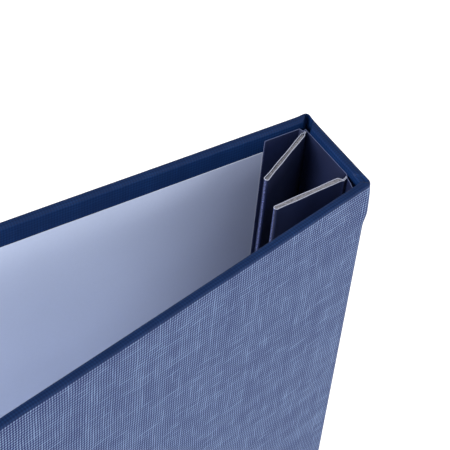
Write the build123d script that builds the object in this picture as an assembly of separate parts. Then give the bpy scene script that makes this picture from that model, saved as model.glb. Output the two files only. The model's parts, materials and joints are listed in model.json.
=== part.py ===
"""A book-form archival case: two cloth-covered covers and a spine, with a hinged stub flap at each inner corner.

The case stands on its tail. +Z is up, +X points out of the spine and the covers run to -X, the back cover
on the +Y side and the front cover on the -Y side. The origin is the centre of the spine's foot. The back
cover is closed, and the front cover stands a little open on its cloth joint.
Lengths are in millimetres and angles in degrees.
"""

import os
from math import cos, radians, sin

from build123d import *

# Overall sizes, over the cloth
spine_width = 40.0  # from the outer face of one closed cover to that of the other
case_height = 320.0  # head to tail
cover_width = 240.0  # outer face of the spine to the fore-edge

# Covers and spine
board = 2.5  # binder's board
cloth = 0.4  # bookcloth
turn_in = 19.0  # width of the cloth that is folded in over each board's edge
rim_radius = 0.6  # rounding of the cloth over the edges of the boards
joint_gap = 0.7  # room between the spine board's inner corner and the cover board's, for the fold
front_opening = 12.5  # how far the front cover stands open

# Papers on the inside
paper = 0.25  # lining paper and the dark inner sheet
lining_margin = 8.0  # from the cover's head, tail and fore-edge to the lining
inner_margin = 3.0  # from head and tail to the inner sheet and the stubs
strip_start = 1.4  # from the end of the cover board at the joint to the hinge strip
strip_width = 14.4
strip_clearance = 0.2  # between the hinge strip and the lining

# Stub flaps
stub_width = 27.5  # of the board inside
stub_board = 1.5
neck_taper = 1.2  # run over which the two layers of the sheet close behind the board
fold_clearance = 0.1  # between a stub's fold and the spine lining
back_stub_inset = 2.0  # from the closed back cover's inner face to the stub's fold
back_stub_neck = 1.7  # from the stub's fold to its board
back_stub_lean = 29.2  # from the closed cover's direction, towards -Y
front_stub_inset = 5.8
front_stub_neck = 2.8
front_stub_lean = 3.4

# Worked out from the sizes above
wall = board + 2 * cloth
outer_x = wall / 2
outer_y = spine_width / 2
joint_radius = cloth + board + joint_gap  # outside of the cloth round the corner
joint_x = outer_x - joint_radius  # centre of that round, and the end of the cover board
joint_y = outer_y - joint_radius  # centre of that round, and the end of the spine board
fore_edge_x = outer_x - cover_width
cover_inner_y = outer_y - wall  # face of the cover's turn-in
lined_y = cover_inner_y - paper  # face of the lining and of the hinge strip
spine_inner_x = -wall / 2  # face of the spine's turn-in
spine_lined_x = spine_inner_x - paper
strip_x = joint_x - strip_start
lining_x = strip_x - strip_width - strip_clearance
stub_thickness = stub_board + 2 * paper
fold_radius = paper + 0.05  # of the bead that the folded sheet makes at the stub's hinge
fold_x = spine_lined_x - fold_clearance - fold_radius
hinge_x = joint_x + joint_radius * cos(radians(45))
hinge_y = joint_y + joint_radius * sin(radians(45))


def slab(x_range, y_range, z_range):
    """A box from its low and high limits along each axis."""
    size = (x_range[1] - x_range[0], y_range[1] - y_range[0], z_range[1] - z_range[0])
    return Pos(x_range[0], y_range[0], z_range[0]) * Box(*size, align=Align.MIN)


def joint_half(first_angle, last_angle):
    """Part of the cloth round the back corner, doubled at head and tail where it is turned in."""

    def layer(inner_radius, low, high):
        centre = (joint_x, joint_y)
        outside = CenterArc(centre, joint_radius, first_angle, last_angle - first_angle)
        inside = CenterArc(centre, inner_radius, first_angle, last_angle - first_angle)
        ends = [Line(outside @ 0, inside @ 0), Line(outside @ 1, inside @ 1)]
        return Pos(0, 0, low) * extrude(make_face([outside, inside, *ends]), high - low)

    single = layer(joint_radius - cloth, 0, case_height)
    tail = layer(joint_radius - 2 * cloth, 0, turn_in)
    head = layer(joint_radius - 2 * cloth, case_height - turn_in, case_height)
    return single + tail + head


def make_spine():
    """The spine: its board, the cloth turned in over it at head and tail, and the inner sheet."""
    board_x = (-board / 2, board / 2)
    width = (-joint_y, joint_y)
    core = slab(board_x, width, (cloth, case_height - cloth))
    block = slab((spine_inner_x, outer_x), width, (0, case_height))
    block = fillet(block.edges().filter_by(Axis.Y), rim_radius)
    open_back = slab((spine_inner_x, -board / 2), width, (turn_in, case_height - turn_in))
    corner = joint_half(0, 45)
    skin = block - core - open_back + corner + corner.mirror(Plane.XZ)

    sheet_y = (-(lined_y - front_stub_inset), lined_y - back_stub_inset)
    sheet = slab((spine_lined_x, spine_inner_x), sheet_y, (inner_margin, case_height - inner_margin))
    filling = slab((spine_inner_x, -board / 2), sheet_y, (turn_in, case_height - turn_in))
    return {"spine_board": core, "spine_cloth": skin, "spine_lining": sheet + filling}


def make_cover():
    """The back cover, closed: board, cloth turned in on three sides, lining and hinge strip."""
    board_y = (cover_inner_y + cloth, outer_y - cloth)
    core = slab((fore_edge_x + cloth, joint_x), board_y, (cloth, case_height - cloth))
    block = slab((fore_edge_x, joint_x), (cover_inner_y, outer_y), (0, case_height))
    joint_side = block.faces().sort_by(Axis.X)[-1].edges()
    rims = [edge for edge in block.edges() if edge not in joint_side and edge.length > wall + 0.1]
    block = fillet(rims, rim_radius)
    window_y = (cover_inner_y, cover_inner_y + cloth)
    window_z = (turn_in, case_height - turn_in)
    window = slab((fore_edge_x + turn_in, joint_x), window_y, window_z)
    skin = block - core - window + joint_half(45, 90)

    lining_z = (lining_margin, case_height - lining_margin)
    lining = slab((fore_edge_x + lining_margin, lining_x), (lined_y, cover_inner_y), lining_z)
    lining += slab((fore_edge_x + turn_in, lining_x), window_y, window_z)

    strip_range = (strip_x - strip_width, strip_x)
    strip = slab(strip_range, (lined_y, cover_inner_y), (inner_margin, case_height - inner_margin))
    strip += slab(strip_range, window_y, window_z)
    return {"cover_board": core, "cover_cloth": skin, "cover_lining": lining, "hinge_strip": strip}


def make_stub(neck):
    """A stub flap along +X from its fold at the origin: a board in a folded sheet, rounded at the free edge."""
    start = neck
    tip = neck + stub_width - stub_thickness / 2
    half = stub_thickness / 2
    core_half = stub_board / 2

    def flap(half_thickness):
        """Outline of a flap of the board's width with a round free edge."""
        body = Pos((start + tip) / 2, 0) * Rectangle(tip - start, 2 * half_thickness)
        return body + Pos(tip, 0) * Circle(half_thickness)

    closing = [
        (0, -paper),
        (start - neck_taper, -paper),
        (start, -half),
        (start, half),
        (start - neck_taper, paper),
        (0, paper),
    ]
    outline = flap(half) + make_face(Polyline(*closing, close=True)) + Circle(fold_radius)
    core_outline = flap(core_half)
    height = case_height - 2 * inner_margin
    core = Pos(0, 0, inner_margin) * extrude(core_outline, height)
    wrap = Pos(0, 0, inner_margin) * extrude(outline, height) - core
    return {"stub_board": core, "stub_wrap": wrap}


def build():
    """Every node of the case by name, in place."""
    nodes = make_spine()
    closed = make_cover()
    front_hinge = Axis((hinge_x, -hinge_y, 0), (0, 0, 1))
    for name, solid in closed.items():
        nodes["back_" + name] = solid
        nodes["front_" + name] = solid.mirror(Plane.XZ).rotate(front_hinge, front_opening)

    back_fold = Pos(fold_x, lined_y - back_stub_inset) * Rot(0, 0, 180 + back_stub_lean)
    front_fold = Pos(fold_x, -(lined_y - front_stub_inset)) * Rot(0, 0, 180 + front_stub_lean)
    for name, solid in make_stub(back_stub_neck).items():
        nodes["back_" + name] = back_fold * solid
    for name, solid in make_stub(front_stub_neck).items():
        nodes["front_" + name] = front_fold * solid
    return nodes


def main():
    os.makedirs("parts", exist_ok=True)
    for name, solid in build().items():
        export_step(solid, f"parts/{name}.step")
    print(f"cover hinges at x {hinge_x:.4f}, y +-{hinge_y:.4f}")
    print(f"stub folds at x {fold_x:.4f}, y {lined_y - back_stub_inset:.4f} and {front_stub_inset - lined_y:.4f}")


if __name__ == "__main__":
    main()
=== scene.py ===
"""The looks of a book-form archival case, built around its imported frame.

Lengths here are in millimetres, as on the case, and each mesh is scaled to metres when it is made.
Both covers are first built closed, on the back side (+Y). The front one is then mirrored, and turned open
about its joint.
"""

import json
import math

import bmesh
import bpy
import numpy as np
from mathutils import Matrix, Vector, noise


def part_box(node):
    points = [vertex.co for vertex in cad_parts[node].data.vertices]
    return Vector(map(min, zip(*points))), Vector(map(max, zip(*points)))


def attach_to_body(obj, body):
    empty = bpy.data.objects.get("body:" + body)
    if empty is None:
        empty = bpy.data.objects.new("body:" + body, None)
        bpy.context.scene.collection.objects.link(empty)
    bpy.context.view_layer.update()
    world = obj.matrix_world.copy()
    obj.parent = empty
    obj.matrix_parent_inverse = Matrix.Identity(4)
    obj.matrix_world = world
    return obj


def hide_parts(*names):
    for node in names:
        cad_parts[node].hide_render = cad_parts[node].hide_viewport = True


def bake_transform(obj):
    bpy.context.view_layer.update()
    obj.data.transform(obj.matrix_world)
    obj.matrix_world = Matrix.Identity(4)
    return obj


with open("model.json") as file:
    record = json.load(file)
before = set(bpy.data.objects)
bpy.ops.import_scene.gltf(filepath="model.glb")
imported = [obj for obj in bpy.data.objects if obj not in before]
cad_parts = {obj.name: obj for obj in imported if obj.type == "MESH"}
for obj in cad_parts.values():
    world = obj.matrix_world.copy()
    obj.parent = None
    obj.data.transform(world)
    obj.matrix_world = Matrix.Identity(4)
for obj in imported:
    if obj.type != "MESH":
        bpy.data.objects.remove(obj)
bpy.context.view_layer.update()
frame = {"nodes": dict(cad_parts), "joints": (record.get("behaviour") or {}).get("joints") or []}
MM = 0.001


def corners(node):
    """Lowest and highest corner of a CAD node, in millimetres."""
    low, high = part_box(node)
    return np.array(low) / MM, np.array(high) / MM


# Sizes read from the frame
cover_low, cover_high = corners("back_cover_cloth")
lining_low, lining_high = corners("back_cover_lining")
strip_low, strip_high = corners("back_hinge_strip")
sheet_low, sheet_high = corners("spine_lining")
head = cover_high[2]
outer_y = cover_high[1]
turned_y = cover_low[1]
fore_edge = cover_low[0]
outer_x = corners("spine_cloth")[1][0]
spine_end = corners("spine_board")[1][1]
cover_end = corners("back_cover_board")[1][0]
lined_y = lining_low[1]
wall = outer_y - turned_y
paper = turned_y - lined_y
inner_x = outer_x - wall
joints = {joint["name"]: joint for joint in frame["joints"]}
cover_pivot = np.array(joints["back_cover_hinge"]["pos_m"][:2]) / MM
opening = math.radians(-joints["front_cover_hinge"]["range_deg"][0])

# Cloth
turn_in = 19.0  # width of the cloth folded in over a board's edge
cloth_sheet = 0.32  # thickness of the cloth's mesh
rim_radius = 1.0  # rounding of the cloth over the edges of the boards
cover_corner_radius = 1.4  # rounding of a cover's corners at the fore-edge, seen from its face
edge_reach = 6.0  # width of the margin that is built as part of the wrapped edges
ripple_height = 0.07  # how uneven the glued cloth is
cut_height = 8.0  # from head and tail to where the cut in the spine board's corners starts
cut_width = 5.46  # how much the cut takes off the spine board's short edges, on each side

# Joints
joint_seam = 5.4  # from each board's end to where the joint's own piece of cloth starts
joint_edge_reach = 2.4  # edge_reach of the joint's cloth
blend_reach = 1.0  # half the width in which the joint's cloth passes from the spine to the cover
bulge_reach = 4.6  # along the cloth, from the middle of the joint to where its bulge has faded
valley_start = 4.2  # from the spine board's end to the foot of the valley between the boards
valley_slope = 0.9  # run over which the cloth sinks into the valley

# Papers and stubs
sheet_thickness = 0.28  # of the sheet folded round the stubs
paper_fill = 0.96  # how much of the paper's room in the CAD model the linings and strips take
sheet_fill = 0.8  # the same for the sheet on the spine and beside it
worn_margin = 0.45  # width of the worn margin along a paper's upright edges
fold_bead = 0.84  # half the width over which a stub's sheet turns round the free edge

SIDES = {"back": 1, "front": -1}  # which way along Y each side lies
OUTSIDE = 500.0  # a distance that is well outside the case, to tell a skin's outer side


# Meshes ------------------------------------------------------------------------------------------


def smooth(share):
    """A soft step from 0 to 1."""
    share = np.clip(share, 0, 1)
    return share * share * (3 - 2 * share)


def grid_faces(rows, columns, start=0):
    """Quads of a grid of vertices that are numbered row by row."""
    faces = []
    for i in range(rows - 1):
        for j in range(columns - 1):
            a = start + i * columns + j
            faces.append((a, a + 1, a + columns + 1, a + columns))
    return faces


def column_faces(levels, size):
    """Faces of a column of rings of points that are numbered level by level: the sides, then the two ends.

    Each ring runs up one side of an outline and back down the other, so an end is a strip of quads.
    """
    faces = []
    for level in range(levels - 1):
        for j in range(size):
            a, b = level * size + j, level * size + (j + 1) % size
            faces.append((a, b, b + size, a + size))
    for level in (0, levels - 1):
        for j in range(size // 2 - 1):
            a, c = level * size + j, level * size + size - 2 - j
            faces.append((a, a + 1, c, c + 1))
    return faces


def ripple(points, scale=0.02, height=ripple_height):
    """A gentle unevenness at each point, as of glued cloth."""
    return height * np.array([noise.noise(Vector(p * scale)) for p in points])


def make_piece(name, points, faces, materials, slots=None, uv=None, values=None, merge=False):
    """A mesh from points. uv is in millimetres, as they are, and values are named numbers, both per point."""
    mesh = bpy.data.meshes.new(name)
    mesh.from_pydata((np.asarray(points) * MM).tolist(), [], faces)
    for material in materials:
        mesh.materials.append(material)
    if slots is not None:
        mesh.polygons.foreach_set("material_index", slots)
    loops = np.zeros(len(mesh.loops), dtype=np.int32)
    mesh.loops.foreach_get("vertex_index", loops)
    if uv is not None:
        layer = mesh.uv_layers.new(name="cloth")
        layer.data.foreach_set("uv", (np.asarray(uv)[loops] * MM).astype(np.float32).ravel())
    for key, numbers in (values or {}).items():
        layer = mesh.attributes.new(key, "FLOAT", "POINT")
        layer.data.foreach_set("value", np.asarray(numbers, np.float32))
    edit = bmesh.new()
    edit.from_mesh(mesh)
    if merge:
        bmesh.ops.remove_doubles(edit, verts=edit.verts, dist=0.002 * MM)
    bmesh.ops.recalc_face_normals(edit, faces=edit.faces)
    edit.to_mesh(mesh)
    edit.free()
    mesh.polygons.foreach_set("use_smooth", [True] * len(mesh.polygons))
    mesh.update()
    piece = bpy.data.objects.new(name, mesh)
    bpy.context.scene.collection.objects.link(piece)
    return piece


def thicken(piece, thickness, outward_point):
    """Gives an open skin its cloth's thickness on the side away from outward_point."""
    mesh = piece.data
    outward = Vector(outward_point) * MM
    score = sum(p.area * p.normal.dot(outward - p.center) for p in mesh.polygons)
    if score < 0:
        mesh.flip_normals()
    solid = piece.modifiers.new("thickness", "SOLIDIFY")
    solid.thickness = thickness * MM
    solid.offset = -1
    bpy.context.view_layer.update()
    thick = bpy.data.meshes.new_from_object(piece.evaluated_get(bpy.context.evaluated_depsgraph_get()))
    piece.modifiers.remove(solid)
    piece.data = thick
    bpy.data.meshes.remove(mesh)
    thick.name = piece.name
    sharpen(piece, 60)


def sharpen(piece, degrees=35):
    """Shows edges that turn by more than this as edges."""
    piece.data.set_sharp_from_angle(angle=math.radians(degrees))


def turn_open(points, share):
    """Points on the closed front side, turned open about its joint by their share of the opening."""
    pivot = np.array([cover_pivot[0], -cover_pivot[1]])
    angle = opening * share
    x, y = points[:, 0] - pivot[0], points[:, 1] - pivot[1]
    turned = points.copy()
    turned[:, 0] = pivot[0] + x * np.cos(angle) - y * np.sin(angle)
    turned[:, 1] = pivot[1] + x * np.sin(angle) + y * np.cos(angle)
    return turned


def cover_share(points):
    """How far each point of the closed back joint follows the cover rather than the spine."""
    along = (points[:, 1] - cover_pivot[1] - points[:, 0] + cover_pivot[0]) / math.sqrt(2)
    return smooth((along + blend_reach) / (2 * blend_reach))


def place(side, points, share=None):
    """Points of the closed back side, brought to the side and opening where the case stands."""
    if side == "back":
        return points
    share = np.ones(len(points)) if share is None else share
    return turn_open(points * np.array([1, -1, 1]), share)


def blend_joint(piece):
    """Bakes the piece's transform into its mesh."""
    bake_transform(piece)


# Bookcloth ---------------------------------------------------------------------------------------


def rim_profile(reach_out, reach_in):
    """Steps round a board's edge: inset from it, depth from the outer face, and length along the cloth."""
    arc = np.linspace(0, math.pi / 2, 6)
    outside = [(rim_radius * (1 - math.sin(a)), rim_radius * (1 - math.cos(a))) for a in arc]
    inside = [(inset, wall - depth) for inset, depth in reversed(outside)]
    flat = [(0, depth) for depth in np.linspace(rim_radius, wall - rim_radius, 9)[1:-1]]
    outer = [(inset, 0) for inset in np.linspace(reach_out, rim_radius, 5)[:-1]]
    inner = [(inset, wall) for inset in np.linspace(rim_radius, reach_in, 12)[1:]]
    steps = np.array(outer + outside + flat + inside + inner)
    lengths = np.concatenate([[0], np.cumsum(np.linalg.norm(np.diff(steps, axis=0), axis=1))])
    return steps[:, 0], steps[:, 1], lengths - reach_out


def face_distance(inset, depth):
    """How far cloth lies in from the rim on the outer face. It is negative on the rim and the turn-in."""
    return np.where(depth < wall / 2, inset, 0) - depth


def upright_rows(reach, face_z):
    """Rows of cloth from the tail's turn-in to the head's: z, depth, distance in from the rim, and v."""
    insets, depths, lengths = rim_profile(reach, turn_in)
    z = np.concatenate([insets[::-1], face_z, head - insets])
    depth = np.concatenate([depths[::-1], np.zeros_like(face_z), depths])
    rim = face_distance(insets, depths)
    face = np.concatenate([rim[::-1], np.minimum(face_z, head - face_z), rim])
    v = np.concatenate([-lengths[::-1], face_z, head + lengths])
    return z, depth, face, v


def cover_cloth(side, material):
    """The cloth over a cover, wrapped round its head, tail and fore-edge with mitred corners."""
    seam = cover_end - joint_seam
    u_shift = seam + spine_end - joint_seam + joint_path(JOINT_SHAPES[side])[3][-1]  # from the spine's middle
    insets, depths, lengths = rim_profile(edge_reach, turn_in)
    columns, rows = 56, 76
    points, uv, face, faces = [], [], [], []

    def add(grid, grid_uv, grid_face):
        """Adds a grid of points with its cloth coordinates and its distances on the outer face."""
        start = sum(len(part) for part in points)
        n, m = grid.shape[:2]
        faces.extend(grid_faces(n, m, start))
        points.append(grid.reshape(-1, 3))
        uv.append(grid_uv.reshape(-1, 2))
        face.append(np.broadcast_to(grid_face, (n, m)).reshape(-1))

    def edge_line(inset, first, last, first_arc, last_arc, count):
        """Positions along one edge, and how far each lies back from it in the rounded corners."""
        bend = max(cover_corner_radius - inset, 0)
        start = max(cover_corner_radius, inset) if first_arc else 0
        end = max(cover_corner_radius, inset) if last_arc else 0
        angles = np.linspace(0, math.pi / 4, 4)[1:]
        straight = np.linspace(first + start, last - end, count)
        setback = np.zeros(count)
        if last_arc:
            straight = np.concatenate([straight, straight[-1] + bend * np.sin(angles)])
            setback = np.concatenate([setback, bend * (1 - np.cos(angles))])
        if first_arc:
            straight = np.concatenate([straight[0] - bend * np.sin(angles[::-1]), straight])
            setback = np.concatenate([bend * (1 - np.cos(angles[::-1])), setback])
        return straight, inset + setback

    distances = face_distance(insets, depths)[:, None]
    for end in ("head", "tail"):
        grid, grid_uv = [], []
        for inset, depth, length in zip(insets, depths, lengths):
            x, back = edge_line(inset, -seam, -fore_edge, False, True, columns)
            z = head - back if end == "head" else back
            v = head + length if end == "head" else -length
            grid.append(np.stack([-x, np.full_like(x, outer_y - depth), z], axis=1))
            grid_uv.append(np.stack([x, np.full_like(x, v)], axis=1))
        add(np.array(grid), np.array(grid_uv), distances)
    grid, grid_uv = [], []
    for inset, depth, length in zip(insets, depths, lengths):
        z, back = edge_line(inset, 0, head, True, True, rows)
        grid.append(np.stack([fore_edge + back, np.full_like(z, outer_y - depth), z], axis=1))
        grid_uv.append(np.stack([np.full_like(z, length - fore_edge), z], axis=1))
    add(np.array(grid), np.array(grid_uv), distances)
    x, z = np.meshgrid(
        np.linspace(seam, fore_edge + edge_reach, columns),
        np.linspace(edge_reach, head - edge_reach, rows),
    )
    add(np.stack([x, np.full_like(x, outer_y), z], axis=2), np.stack([-x, z], axis=2), edge_reach)

    points, uv, face = np.concatenate(points), np.concatenate(uv), np.concatenate(face)
    uv = (uv + [u_shift, 0]) * [SIDES[side], 1]
    away = smooth((seam - points[:, 0]) / 12)  # the ripples fade towards the seam
    points[:, 1] += ripple(points) * away
    rim = smooth(1 - np.minimum(points[:, 2], head - points[:, 2]) / 1.5)
    rim_ripple = 0.6 * ripple(points * np.array([3, 1, 0]))  # quicker and flatter, along the rim
    points[:, 2] += rim_ripple * away * rim
    piece = make_piece(f"{side}_cover_skin", place(side, points), faces, [material],
                       uv=uv, values={"face": face}, merge=True)
    outside = place(side, np.array([[fore_edge / 2, outer_y + OUTSIDE, head / 2]]))[0]
    thicken(piece, cloth_sheet, outside)
    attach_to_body(piece, f"{side}_cover")
    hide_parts(f"{side}_cover_cloth")


def spine_core(material):
    """The spine's board, with its corners cut off at head and tail so that the cloth can sink there."""
    low, high = corners("spine_board")
    outline = []
    for end, inward in ((low[2], 1), (high[2], -1)):
        cut = [(-spine_end, end + inward * cut_height), (cut_width - spine_end, end),
               (spine_end - cut_width, end), (spine_end, end + inward * cut_height)]
        outline += cut if inward == 1 else cut[::-1]
    points = [(x, y, z) for x in (low[0], high[0]) for y, z in outline]
    size = len(outline)
    faces = [tuple(range(size)), tuple(range(size, 2 * size))]
    faces += [(j, (j + 1) % size, (j + 1) % size + size, j + size) for j in range(size)]
    board = make_piece("spine_core", points, faces, [material])
    sharpen(board)
    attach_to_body(board, "spine")
    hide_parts("spine_board")


def spine_cloth(material):
    """The cloth over the spine between its joint pieces, turned in at head and tail."""
    seam = spine_end - joint_seam
    z, depth, face, v = upright_rows(edge_reach, np.linspace(edge_reach, head - edge_reach, 60)[1:-1])
    y = np.linspace(-seam, seam, 13)
    rows, columns = len(z), len(y)
    grid = np.zeros((rows, columns, 3))
    grid[:, :, 0] = (outer_x - depth)[:, None]
    grid[:, :, 1] = y[None, :]
    grid[:, :, 2] = z[:, None]
    points = grid.reshape(-1, 3)
    away = smooth((seam - np.abs(points[:, 1])) / 5)  # the ripples fade towards both seams
    points[:, 0] += ripple(points) * away
    uv = np.stack([np.broadcast_to(y, (rows, columns)), np.broadcast_to(v[:, None], (rows, columns))], axis=2)
    piece = make_piece("spine_skin", points, grid_faces(rows, columns), [material], uv=uv.reshape(-1, 2),
                       values={"face": np.repeat(face, columns)})
    thicken(piece, cloth_sheet, (OUTSIDE, 0, head / 2))
    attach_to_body(piece, "spine")
    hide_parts("spine_cloth")


JOINT_SHAPES = {
    # radius of the corner, how far it bulges, depth of the valley at the head, bulge of the doubled turn-in
    "back": {"radius": 1.3, "bulge": 0.3, "valley": 6.5, "turned_bulge": 0.3},
    "front": {"radius": 2.4, "bulge": 0.0, "valley": 0.5, "turned_bulge": 0.75},
}


def joint_path(shape):
    """The joint in plan, from the spine's seam to the cover's.

    Gives the outer points, their outward normals, the inner points and how far along the cloth each lies.
    """
    radius = shape["radius"]
    spine_seam, cover_seam = spine_end - joint_seam, cover_end - joint_seam
    spine_run = outer_y - radius - spine_seam
    cover_run = outer_x - radius - cover_seam
    bend = radius * math.pi / 2
    total = spine_run + bend + cover_run
    middle = spine_run + bend / 2
    outer, normal, inner, travelled = [], [], [], np.linspace(0, total, 61)
    for s in travelled:
        if s <= spine_run:
            point, out = (outer_x, spine_seam + s), (1, 0)
        elif s <= spine_run + bend:
            a = (s - spine_run) / radius
            out = (math.cos(a), math.sin(a))
            point = (outer_x - radius + radius * out[0], outer_y - radius + radius * out[1])
        else:
            point, out = (outer_x - radius - (s - spine_run - bend), outer_y), (0, 1)
        outer.append(point)
        normal.append(out)
        if s <= middle:
            inner.append((inner_x, spine_seam + (turned_y - spine_seam) * s / middle))
        else:
            inner.append((inner_x - (inner_x - cover_seam) * (s - middle) / (total - middle), turned_y))
    return np.array(outer), np.array(normal), np.array(inner), travelled


def beyond(plan, first, last):
    """How far points in plan lie to the left of the line from first to last."""
    along = np.subtract(last, first) / np.linalg.norm(np.subtract(last, first))
    offset = plan - np.array(first)
    return offset[:, 1] * along[0] - offset[:, 0] * along[1]


def valley_depth(plan, outer, shape):
    """How far the cloth sinks between the ends of the boards at head and tail, at points in plan.

    The valley lies between two lines in plan, one beside each board's end, and stays off the outer face.
    """
    from_outside = np.min(np.linalg.norm(plan[:, None, :] - outer[None, :, :], axis=2), axis=1)
    from_cover = beyond(plan, (outer_x - 0.75, outer_y), (inner_x - 0.6, turned_y))
    from_spine = -beyond(plan, (outer_x + 0.2, spine_end - 0.2), (inner_x, spine_end - valley_start))
    between = smooth(from_cover / valley_slope) * smooth(from_spine / valley_slope)
    return shape["valley"] * between * smooth((from_outside - 0.5) / 0.6)


def joint_rows():
    """Rows of the joint's cloth, as upright_rows gives them, close together near head and tail."""
    fine_until = 24.0  # from head and tail to where the rows get wider apart
    fine = np.arange(joint_edge_reach, fine_until, 0.9)[1:]
    face_z = np.concatenate([fine, np.linspace(fine_until, head - fine_until, 40), head - fine[::-1]])
    return upright_rows(joint_edge_reach, face_z)


def doubled(end_distance):
    """How much the cloth bulges over its turn-in: more and more from the rim, and not past the turn-in."""
    rising = smooth((end_distance - 0.5) / 4) * (0.35 + 0.65 * smooth(end_distance / 14))
    return rising * (1 - smooth((end_distance - 13) / 7))


def joint_cloth(side, material):
    """The cloth that bends between the spine and a cover, with the doubled fold at head and tail."""
    shape = JOINT_SHAPES[side]
    outer, normal, inner, travelled = joint_path(shape)
    across = inner - outer
    inward = across / np.linalg.norm(across, axis=1)[:, None]
    z, depth, face, v = joint_rows()
    end_distance = np.minimum(z, head - z)
    turned = doubled(end_distance)
    middle = travelled[-1] / 2
    near_corner = np.cos(np.clip((travelled - middle) / bulge_reach, -1, 1) * math.pi / 2) ** 2

    points = []
    for k in range(len(z)):
        if depth[k] <= rim_radius:
            plan = outer + inward * depth[k]
        elif depth[k] >= wall - rim_radius:
            plan = inner - inward * (wall - depth[k])
        else:
            plan = outer + across * (depth[k] / wall)
        bulge = (shape["bulge"] + shape["turned_bulge"] * turned[k]) * near_corner * (1 - depth[k] / wall)
        sunk = valley_depth(plan, outer, shape) * (1 - smooth(end_distance[k] / turn_in))
        height = z[k] - sunk if z[k] > head / 2 else z[k] + sunk
        points.append(np.column_stack([plan + normal * bulge[:, None], height]))
    rows, columns = len(z), len(outer)
    points = np.array(points).reshape(-1, 3)
    u = SIDES[side] * (spine_end - joint_seam + travelled)
    uv = np.stack([np.broadcast_to(u, (rows, columns)), np.broadcast_to(v[:, None], (rows, columns))], axis=2)
    placed = place(side, points, cover_share(points))
    piece = make_piece(f"{side}_joint_skin", placed, grid_faces(rows, columns), [material],
                       uv=uv.reshape(-1, 2), values={"face": np.repeat(face, columns)})
    thicken(piece, cloth_sheet, (OUTSIDE, SIDES[side] * OUTSIDE, head / 2))
    blend_joint(piece)


# Papers ------------------------------------------------------------------------------------------


def offset_line(line, distance):
    """A line in plan, moved sideways by a distance."""
    steps = np.diff(line, axis=0)
    normals = np.column_stack([-steps[:, 1], steps[:, 0]])
    normals = normals / np.linalg.norm(normals, axis=1)[:, None]
    at_points = np.vstack([normals[:1], normals[:-1] + normals[1:], normals[-1:]])
    at_points = at_points / np.linalg.norm(at_points, axis=1)[:, None]
    cosines = np.concatenate([[1], np.sum(at_points[1:-1] * normals[1:], axis=1), [1]])
    return line + at_points * (distance / np.maximum(cosines, 0.5))[:, None]


def standing_sheet(name, line, z_range, thickness, face, edge, share=None, side="back", wear_and_highlight=None, levels=28):
    """A sheet that stands along a line in plan. Its head, tail and ends show its pale core."""
    cut_share, cut_wave = 0.72, 0.06  # thickness of the sheet at its cut edges, and how wavy the cut is
    line = np.array(line, float)
    count = len(line)
    ring = np.vstack([offset_line(line, thickness / 2), offset_line(line, -thickness / 2)[::-1]])
    heights = np.linspace(z_range[0], z_range[1], levels)
    heights[1], heights[-2] = z_range[0] + thickness / 3, z_range[1] - thickness / 3
    middle = np.vstack([line, line[::-1]])
    size = len(middle)
    points = []
    for level, z in enumerate(heights):
        is_cut = level in (0, levels - 1)
        plan = middle + (ring - middle) * (cut_share if is_cut else 1)
        height = np.full(size, z)
        if is_cut:
            height += [cut_wave * noise.noise(Vector((x * 0.7, y * 0.7, z * 0.05))) for x, y in plan]
        points.append(np.column_stack([plan, height]))
    points = np.vstack(points)
    wear_and_highlight_values = np.zeros(len(points)) if wear_and_highlight is None else np.tile(np.concatenate([wear_and_highlight, wear_and_highlight[::-1]]), levels)
    faces = column_faces(levels, size)
    slots = [1 if j in (count - 1, size - 1) or level in (0, levels - 2) else 0
             for level in range(levels - 1) for j in range(size)]
    slots += [1] * (len(faces) - len(slots))
    points = place(side, points, None if share is None else share(points))
    piece = make_piece(name, points, faces, [face, edge], slots=slots, values={"wear_and_highlight": wear_and_highlight_values})
    sharpen(piece)
    return piece


def flat_paper(name, side, x_range, z_range, node, face, edge):
    """A paper glued flat inside a cover, with its pale cut edges."""
    across = np.linspace(x_range[0] + worn_margin, x_range[1] - worn_margin, 40)
    x = np.concatenate([x_range[:1], across, x_range[1:]])
    wear_and_highlight = (np.arange(len(x)) % (len(x) - 1) == 0).astype(float)
    line = np.column_stack([x, np.full(len(x), (lined_y + turned_y) / 2)])
    piece = standing_sheet(name, line, z_range, paper * paper_fill, face, edge,
                           side=side, wear_and_highlight=wear_and_highlight, levels=48)
    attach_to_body(piece, f"{side}_cover")
    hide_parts(node)


# Stub flaps --------------------------------------------------------------------------------------


def stub_frame(side):
    """A stub at rest: its fold in plan, the unit direction along it, and where its board starts and ends."""
    fold = np.array(joints[f"{side}_stub_hinge"]["pos_m"][:2]) / MM
    node = frame["nodes"][f"{side}_stub_board"]
    plan = np.array([vertex.co[:2] for vertex in node.data.vertices]) / MM
    middle = (plan.min(axis=0) + plan.max(axis=0)) / 2
    along = (middle - fold) / np.linalg.norm(middle - fold)
    reach = (plan - fold) @ along
    return fold, along, reach.min(), reach.max()


STUBS = {
    # half the board's thickness, how far its cut ends lie inside the sheet's, and sag of the neck behind it
    "back": {"half": 0.52, "drop": 0.4, "sag": 0.0},
    "front": {"half": 0.66, "drop": 0.06, "sag": 0.9},
}


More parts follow.
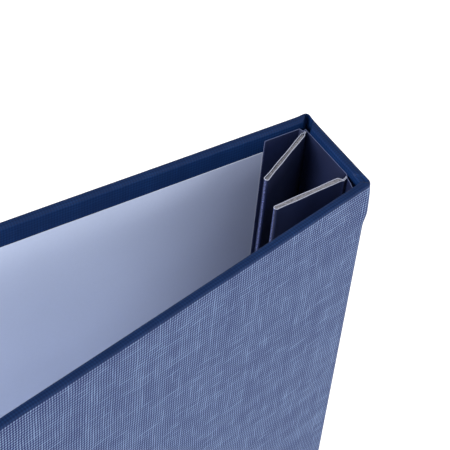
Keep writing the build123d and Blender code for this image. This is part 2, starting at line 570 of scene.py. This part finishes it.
def stub(side, materials):
    """A stub flap: its board, and the dark sheet folded round the board's free edge."""
    fold, along, start, end = stub_frame(side)
    sideways = np.array([-along[1], along[0]])
    low, high = corners(f"{side}_stub_wrap")
    z_range = (low[2], high[2])
    half, drop, sag = (STUBS[side][key] for key in ("half", "drop", "sag"))
    free = end - 0.75  # centre of the round free edge

    def in_plan(line):
        """Points along and beside the stub, brought to their place in the case."""
        line = np.array(line, float)
        return fold + line[:, :1] * along + line[:, 1:] * sideways

    def board():
        """The board, with a round free edge and slightly pinched cut ends."""
        pinched, pinched_height = 0.93, 0.2
        angles = np.linspace(-math.pi / 2, math.pi / 2, 9)[1:-1]
        runs = np.linspace(start + 1, free, 16)
        outline = [(start, -half * 0.9), (start + 0.3, -half)]
        outline += [(run, -half) for run in runs]
        outline += [(free + half * 0.9 * math.cos(a), half * math.sin(a)) for a in angles]
        outline += [(run, half) for run in runs[::-1]]
        outline += [(start + 0.3, half), (start, half * 0.9)]
        outline = in_plan(outline)
        middle = fold + ((outline - fold) @ along)[:, None] * along
        size = len(outline)
        low_cut, high_cut = z_range[0] + drop, z_range[1] - drop
        points = []
        for z in (low_cut, low_cut + pinched_height, high_cut - pinched_height, high_cut):
            squeeze = pinched if z in (low_cut, high_cut) else 1
            points.append(np.column_stack([middle + (outline - middle) * squeeze, np.full(size, z)]))
        faces = column_faces(len(points), size)
        piece = make_piece(f"{side}_stub_core", np.vstack(points), faces, [materials["stub_board"]])
        sharpen(piece)
        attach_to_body(piece, f"{side}_stub")
        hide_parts(f"{side}_stub_board")

    def sheet():
        """The sheet, from the fold along one face, round the free edge and back along the other."""
        gap = half + sheet_thickness / 2 + 0.02  # from the stub's middle to the sheet's

        def face_line(sign):
            run = np.linspace(start + 0.4, free, 18)
            swell = (fold_bead - gap) * smooth((run - free + 5) / 5) + 0.06 * np.sin((run - start) * 0.45)
            return [(s, sign * (gap + w)) for s, w in zip(run, swell)]

        def neck(sign):
            return [(0.0, sign * 0.2), (0.35 * start, 0.6 * sag + sign * 0.2),
                    (0.75 * start, sag + sign * 0.26), (start - 0.1, 0.62 * sign * gap + 0.4 * sag)]

        angles = np.linspace(math.pi / 2, -math.pi / 2, 27)[1:-1]
        turn = [(free + fold_bead * math.cos(a), fold_bead * math.sin(a)) for a in angles]
        line = neck(1) + face_line(1) + turn + face_line(-1)[::-1] + neck(-1)[::-1]
        plain = np.zeros(len(neck(1)) + len(face_line(1)))
        # Pale band at the tip of the round fold: speckled rubbing, and a painted highlight where the fold
        # turns to the light.
        wear_and_highlight = np.concatenate([plain, smooth((np.cos(angles) - 0.9) / 0.07), plain])
        piece = standing_sheet(f"{side}_stub_sheet", in_plan(line), z_range, sheet_thickness,
                               materials["dark_sheet"], materials["sheet_edge"], wear_and_highlight=wear_and_highlight)
        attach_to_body(piece, f"{side}_stub")
        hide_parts(f"{side}_stub_wrap")

    board()
    sheet()


def spine_sheet(materials):
    """The dark sheet glued on the spine's inner face, up to the folds of the stubs."""
    back_fold = stub_frame("back")[0]
    front_fold = stub_frame("front")[0]
    face = inner_x - paper / 2
    glued = np.linspace(back_fold[1] + 0.5, front_fold[1] + 1.2, 20)
    line = [(back_fold[0] - 0.1, back_fold[1]), (back_fold[0] + 0.1, back_fold[1] + 0.75),
            (face, back_fold[1] + 1.0)]
    line += [(face, y) for y in glued]
    line += [(face - 0.15, front_fold[1] + 0.4), (front_fold[0] - 0.1, front_fold[1])]
    sheet = standing_sheet("spine_sheet", line, (sheet_low[2], sheet_high[2]), paper * sheet_fill,
                           materials["dark_sheet"], materials["glued_edge"])
    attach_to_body(sheet, "spine")
    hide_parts("spine_lining")


def web(side, materials):
    """The loose part of the dark sheet between a stub's fold and the strip on the cover."""
    sign = SIDES[side]
    fold = stub_frame(side)[0] * np.array([1, sign])
    attach = np.array([strip_high[0], (lined_y + turned_y) / 2])
    knee = np.array([fold[0] - 0.9, fold[1] + 0.35 * (attach[1] - fold[1])])
    t = np.linspace(0, 1, 16)[:, None]
    line = (1 - t) ** 2 * fold + 2 * t * (1 - t) * knee + t**2 * attach
    piece = standing_sheet(f"{side}_web", line, (strip_low[2], strip_high[2]), paper * sheet_fill,
                           materials["dark_sheet"], materials["glued_edge"], side=side, share=cover_share)
    blend_joint(piece)


# Materials ---------------------------------------------------------------------------------------


def linear(red, green, blue):
    """A colour from its 0 to 255 display values."""
    def channel(value):
        value = value / 255
        return value / 12.92 if value <= 0.04045 else ((value + 0.055) / 1.055) ** 2.4
    return (channel(red), channel(green), channel(blue), 1)


class Shader:
    """A material and short ways to add nodes to it."""

    def __init__(self, name):
        self.material = bpy.data.materials.new(name)
        self.material.use_nodes = True
        self.tree = self.material.node_tree
        self.surface = self.tree.nodes["Principled BSDF"]

    def link(self, value, socket):
        """Gives a socket a link or a fixed value."""
        if isinstance(value, bpy.types.NodeSocket):
            self.tree.links.new(value, socket)
        else:
            socket.default_value = value

    def node(self, kind, inputs=None, **settings):
        """A node with its settings, and its inputs linked or set."""
        made = self.tree.nodes.new(kind)
        for key, value in settings.items():
            setattr(made, key, value)
        for key, value in (inputs or {}).items():
            self.link(value, made.inputs[key])
        return made

    def math(self, operation, *values):
        """The result of a math node."""
        made = self.node("ShaderNodeMath", operation=operation)
        for socket, value in zip(made.inputs, values):
            self.link(value, socket)
        return made.outputs[0]

    def step(self, value, low, high, out_low=0.0, out_high=1.0):
        """A soft step of value between two limits."""
        inputs = {"Value": value, "From Min": low, "From Max": high, "To Min": out_low, "To Max": out_high}
        return self.node("ShaderNodeMapRange", inputs, interpolation_type="SMOOTHSTEP").outputs[0]

    def noise(self, vector, scale, detail=2.0, roughness=0.5):
        """Noise at a place, 0.5 on average."""
        inputs = {"Vector": vector, "Scale": scale, "Detail": detail, "Roughness": roughness}
        return self.node("ShaderNodeTexNoise", inputs).outputs["Fac"]

    def mix(self, factor, first, second):
        """A colour between two others."""
        made = self.node("ShaderNodeMix", data_type="RGBA")
        self.link(factor, made.inputs[0])
        self.link(first, made.inputs[6])
        self.link(second, made.inputs[7])
        return made.outputs[2]

    def combine(self, x, y, z=0.0):
        """A vector from its three parts."""
        return self.node("ShaderNodeCombineXYZ", {"X": x, "Y": y, "Z": z}).outputs[0]

    def attribute(self, name):
        """A number that the mesh holds at each point."""
        return self.node("ShaderNodeAttribute", attribute_name=name).outputs["Fac"]

    def position(self):
        """Where on the case a point lies, in metres, which stays with the piece as it moves."""
        return self.node("ShaderNodeTexCoord").outputs["Object"]

    def finish(self, colour, roughness, height=None, distance=0.0, strength=1.0, **fixed):
        """Sets the surface and gives the finished material. Other inputs of the shader are given by name."""
        self.link(colour, self.surface.inputs["Base Color"])
        self.link(roughness, self.surface.inputs["Roughness"])
        for key, value in fixed.items():
            self.surface.inputs[key.replace("_", " ")].default_value = value
        if height is not None:
            inputs = {"Height": height, "Distance": distance, "Strength": strength}
            bump = self.node("ShaderNodeBump", inputs)
            self.link(bump.outputs[0], self.surface.inputs["Normal"])
        return self.material


def bookcloth_material():
    """Blue coated linen: a plain weave with a painted pale sheen on its thread tops and slubs outside,
    standing for the glossy coat's reflection; smooth and dark on rims and turn-ins.
    """
    warp_pitch, weft_pitch = 1.0 * MM, 1.12 * MM
    s = Shader("bookcloth")
    uv = s.node("ShaderNodeUVMap", uv_map="cloth").outputs[0]
    drift = s.math("MULTIPLY", s.math("SUBTRACT", s.noise(uv, 70.0, 2.0), 0.5), 1.2)  # in threads
    split = s.node("ShaderNodeSeparateXYZ", {0: uv})
    u = s.math("ADD", s.math("DIVIDE", split.outputs[0], warp_pitch), drift)
    v = s.math("ADD", s.math("DIVIDE", split.outputs[1], weft_pitch), drift)
    warp, weft = s.math("FLOOR", u), s.math("FLOOR", v)

    def crown(position):
        """Round section of a thread, 0 at its sides and 1 on top."""
        turn = s.math("MULTIPLY", position, 2 * math.pi)
        return s.math("MULTIPLY_ADD", s.math("COSINE", turn), -0.5, 0.5)

    def slub_sheen(thread, along, shift):
        """Thick stretches of each thread, which take a brighter painted sheen."""
        place_along = s.combine(s.math("MULTIPLY", thread, 7.31), s.math("MULTIPLY", along, 0.1), shift)
        return s.step(s.noise(place_along, 1.0, 1.0), 0.52, 0.76, 0.87, 1.32)

    over = s.math("MULTIPLY", s.math("SINE", s.math("MULTIPLY", u, math.pi)),
                  s.math("SINE", s.math("MULTIPLY", v, math.pi)))
    warp_top = s.math("MULTIPLY", crown(u), slub_sheen(warp, v, 0.0))
    weft_top = s.math("MULTIPLY", crown(v), slub_sheen(weft, u, 5.0))
    pale = s.math("MULTIPLY_ADD", warp_top, 0.5, s.math("MULTIPLY", weft_top, 0.5))
    up_streak = s.noise(s.combine(s.math("MULTIPLY", u, 0.2), s.math("MULTIPLY", v, 0.012), 3.0), 1.0, 1.0)
    cross_streak = s.noise(s.combine(s.math("MULTIPLY", u, 0.012), s.math("MULTIPLY", v, 0.2), 9.0), 1.0, 1.0)
    streak = s.math("MULTIPLY_ADD", up_streak, 0.5, s.math("MULTIPLY", cross_streak, 0.5))
    pale = s.math("MULTIPLY", pale, s.step(streak, 0.3, 0.7, 0.9, 1.1))
    # Painted sheen: on the outer faces the thread tops are painted pale blue, standing for the glossy coat
    # reflecting the bright floor; rims and turn-ins, of the same cloth, keep its plain dark colour.
    outer = s.step(s.attribute("face"), 0.7, 1.05)
    woven_sheen = s.mix(s.step(pale, 0.19, 0.9), linear(0, 16, 78), linear(115, 136, 171))
    plain = s.mix(s.math("MULTIPLY", pale, streak), linear(6, 28, 66), linear(22, 56, 106))
    colour = s.mix(outer, plain, woven_sheen)
    top = s.math("MAXIMUM", s.math("MULTIPLY", crown(u), s.math("MULTIPLY_ADD", over, 0.4, 0.6)),
                 s.math("MULTIPLY", crown(v), s.math("MULTIPLY_ADD", over, -0.4, 0.6)))
    height = s.math("MULTIPLY", top, s.math("MULTIPLY_ADD", outer, 0.75, 0.25))
    roughness = s.step(outer, 0.0, 1.0, 0.5, 0.6)
    return s.finish(colour, roughness, height, 0.00012, 0.8, Specular_IOR_Level=0.12)


def paper_look(s, dark, light, grain):
    """Colour and fibre of matt paper with a faint cloud."""
    place_at = s.position()
    cloud = s.noise(place_at, 40.0, 1.0)
    fibre = s.noise(place_at, grain, 3.0, 0.6)
    mixed = s.math("ADD", s.math("MULTIPLY", cloud, 0.6), s.math("MULTIPLY", fibre, 0.4))
    return s.mix(mixed, dark, light), fibre


def paper_material(name, dark, light, grain=900.0):
    """Plain matt paper, as it shows at the cut edges."""
    s = Shader(name)
    colour, fibre = paper_look(s, dark, light, grain)
    return s.finish(colour, 0.8, fibre, 0.00003, 0.5)


def lining_material():
    """Light blue lining paper, with painted shade darkening it beside the joint, and rubbed pale along its
    upright edges.
    """
    s = Shader("lining_paper")
    colour, fibre = paper_look(s, linear(176, 187, 212), linear(188, 199, 224), 900.0)
    from_joint = s.math("MULTIPLY", s.node("ShaderNodeSeparateXYZ", {0: s.position()}).outputs[0], -1 / MM)
    # Painted shade: the colour darkens within 85 mm of the joint, most within 12 mm, standing for the shade
    # that the covers and stubs cast beside it.
    colour = s.mix(s.step(from_joint, 12.0, 85.0, 0.55, 1.0), linear(34, 42, 102), colour)
    colour = s.mix(s.math("MULTIPLY", s.attribute("wear_and_highlight"), 0.8), colour, linear(190, 198, 220))
    return s.finish(colour, 0.75, fibre, 0.00003, 0.5)


def dark_sheet_material():
    """The dark blue inner sheet, rubbed pale and speckled along the folds of the stubs, with a painted
    highlight on the round of each fold.
    """
    s = Shader("dark_sheet")
    place_at = s.position()
    cloud = s.noise(place_at, 60.0, 3.0)
    speckle = s.noise(place_at, 3200.0, 2.0, 0.7)
    # Painted highlight and rubbing: the tip of each stub's round fold is painted a pale speckled blue.
    worn_and_highlight = s.math("MULTIPLY", s.attribute("wear_and_highlight"), s.step(speckle, 0.44, 0.6))
    base = s.mix(cloud, linear(12, 19, 46), linear(17, 28, 64))
    colour = s.mix(worn_and_highlight, base, linear(84, 94, 146))
    return s.finish(colour, 0.5, speckle, 0.00002, 0.4, Specular_IOR_Level=0.4)


def board_material(name, dark, light):
    """Grey board: fibres and faint layers."""
    s = Shader(name)
    place_at = s.position()
    fibre = s.noise(place_at, 1400.0, 4.0, 0.7)
    cloud = s.noise(place_at, 120.0, 2.0)
    mixed = s.math("ADD", s.math("MULTIPLY", fibre, 0.7), s.math("MULTIPLY", cloud, 0.3))
    return s.finish(s.mix(s.step(mixed, 0.35, 0.65), dark, light), 0.85, fibre, 0.00008, 0.8)


def make_materials():
    """Every material of the case by name."""
    return {
        "bookcloth": bookcloth_material(),
        "lining_paper": lining_material(),
        "lining_edge": paper_material("lining_edge", linear(182, 190, 212), linear(200, 208, 226)),
        "dark_sheet": dark_sheet_material(),
        "sheet_edge": paper_material("sheet_edge", linear(150, 156, 182), linear(206, 210, 226), 2500.0),
        "glued_edge": paper_material("glued_edge", linear(64, 74, 112), linear(112, 122, 158), 2500.0),
        "stub_board": board_material("stub_board", linear(84, 84, 94), linear(146, 145, 152)),
        "binders_board": board_material("binders_board", linear(128, 122, 112), linear(160, 154, 144)),
    }


# Stage -------------------------------------------------------------------------------------------


def make_floor():
    """A plain pale floor just under the case."""
    mesh = bpy.data.meshes.new("floor")
    half = 6.0
    below = -0.02 * MM
    mesh.from_pydata([(-half, -half, below), (half, -half, below), (half, half, below), (-half, half, below)],
                     [], [(0, 1, 2, 3)])
    floor = bpy.data.objects.new("floor", mesh)
    bpy.context.scene.collection.objects.link(floor)
    s = Shader("floor")
    s.finish((0.9, 0.9, 0.9, 1), 0.9, Emission_Color=(1, 1, 1, 1), Emission_Strength=0.4)
    s.material.cycles.emission_sampling = "NONE"
    mesh.materials.append(s.material)


def area_light(name, place_at, target, size, power):
    """A square lamp, in metres and watts, that points at target and isn't seen by the camera."""
    light = bpy.data.lights.new(name, "AREA")
    light.shape = "SQUARE"
    light.size = size
    light.energy = power
    lamp = bpy.data.objects.new(name, light)
    lamp.location = place_at
    lamp.visible_camera = False
    lamp.rotation_euler = (Vector(target) - Vector(place_at)).to_track_quat("-Z", "Y").to_euler()
    bpy.context.scene.collection.objects.link(lamp)


def make_lights():
    """A surround that is white at the horizon and grey above, with three soft lamps."""
    world = bpy.data.worlds.new("surround")
    world.use_nodes = True
    tree = world.node_tree
    direction = tree.nodes.new("ShaderNodeTexCoord").outputs["Generated"]
    height = tree.nodes.new("ShaderNodeSeparateXYZ")
    tree.links.new(direction, height.inputs[0])
    falloff = tree.nodes.new("ShaderNodeMapRange")
    falloff.interpolation_type = "SMOOTHSTEP"
    for key, value in {"From Min": 0.2, "From Max": 0.5, "To Min": 1.0, "To Max": 0.45}.items():
        falloff.inputs[key].default_value = value
    tree.links.new(height.outputs["Z"], falloff.inputs["Value"])
    background = tree.nodes["Background"]
    background.inputs["Color"].default_value = (1, 1, 1, 1)
    tree.links.new(falloff.outputs[0], background.inputs["Strength"])
    bpy.context.scene.world = world
    target = (-0.1, 0, 0.25)
    area_light("key", (-2.2, -0.45, 0.95), target, 1.0, 56)
    area_light("top", (0.3, -0.7, 2.0), target, 1.3, 11)
    area_light("side", (0.8, -0.75, 0.5), target, 0.7, 5)


def make_camera():
    """The camera looks down at the spine's head from the front left. Its place is in millimetres."""
    data = bpy.data.cameras.new("camera")
    data.sensor_width = 36
    data.lens = 126.5
    data.clip_start = 0.01
    data.clip_end = 50
    camera = bpy.data.objects.new("camera", data)
    right = Vector((0.85049, -0.52052, 0.07567)).normalized()
    forward = Vector((0.41385, 0.57342, -0.70706)).normalized()
    up = right.cross(forward)
    spot = Vector((-261.91, -303.90, 677.45)) * MM
    turn = Matrix((right, up, -forward)).transposed().to_4x4()
    camera.matrix_world = Matrix.Translation(spot) @ turn
    bpy.context.scene.collection.objects.link(camera)
    bpy.context.scene.camera = camera


# The case ----------------------------------------------------------------------------------------


def build():
    """Every piece of the case. The covers' boards are the frame's own."""
    materials = make_materials()
    for node in ("back_cover_board", "front_cover_board"):
        mesh = frame["nodes"][node].data
        mesh.materials.clear()
        mesh.materials.append(materials["binders_board"])
    spine_core(materials["binders_board"])
    spine_cloth(materials["bookcloth"])
    spine_sheet(materials)
    for side in SIDES:
        cover_cloth(side, materials["bookcloth"])
        joint_cloth(side, materials["bookcloth"])
        flat_paper(f"{side}_lining", side, (lining_low[0], lining_high[0]), (lining_low[2], lining_high[2]),
                   f"{side}_cover_lining", materials["lining_paper"], materials["lining_edge"])
        flat_paper(f"{side}_strip", side, (strip_low[0], strip_high[0]), (strip_low[2], strip_high[2]),
                   f"{side}_hinge_strip", materials["dark_sheet"], materials["glued_edge"])
        web(side, materials)
        stub(side, materials)


bpy.context.scene.view_settings.view_transform = "Standard"
make_floor()
make_lights()
make_camera()
build()
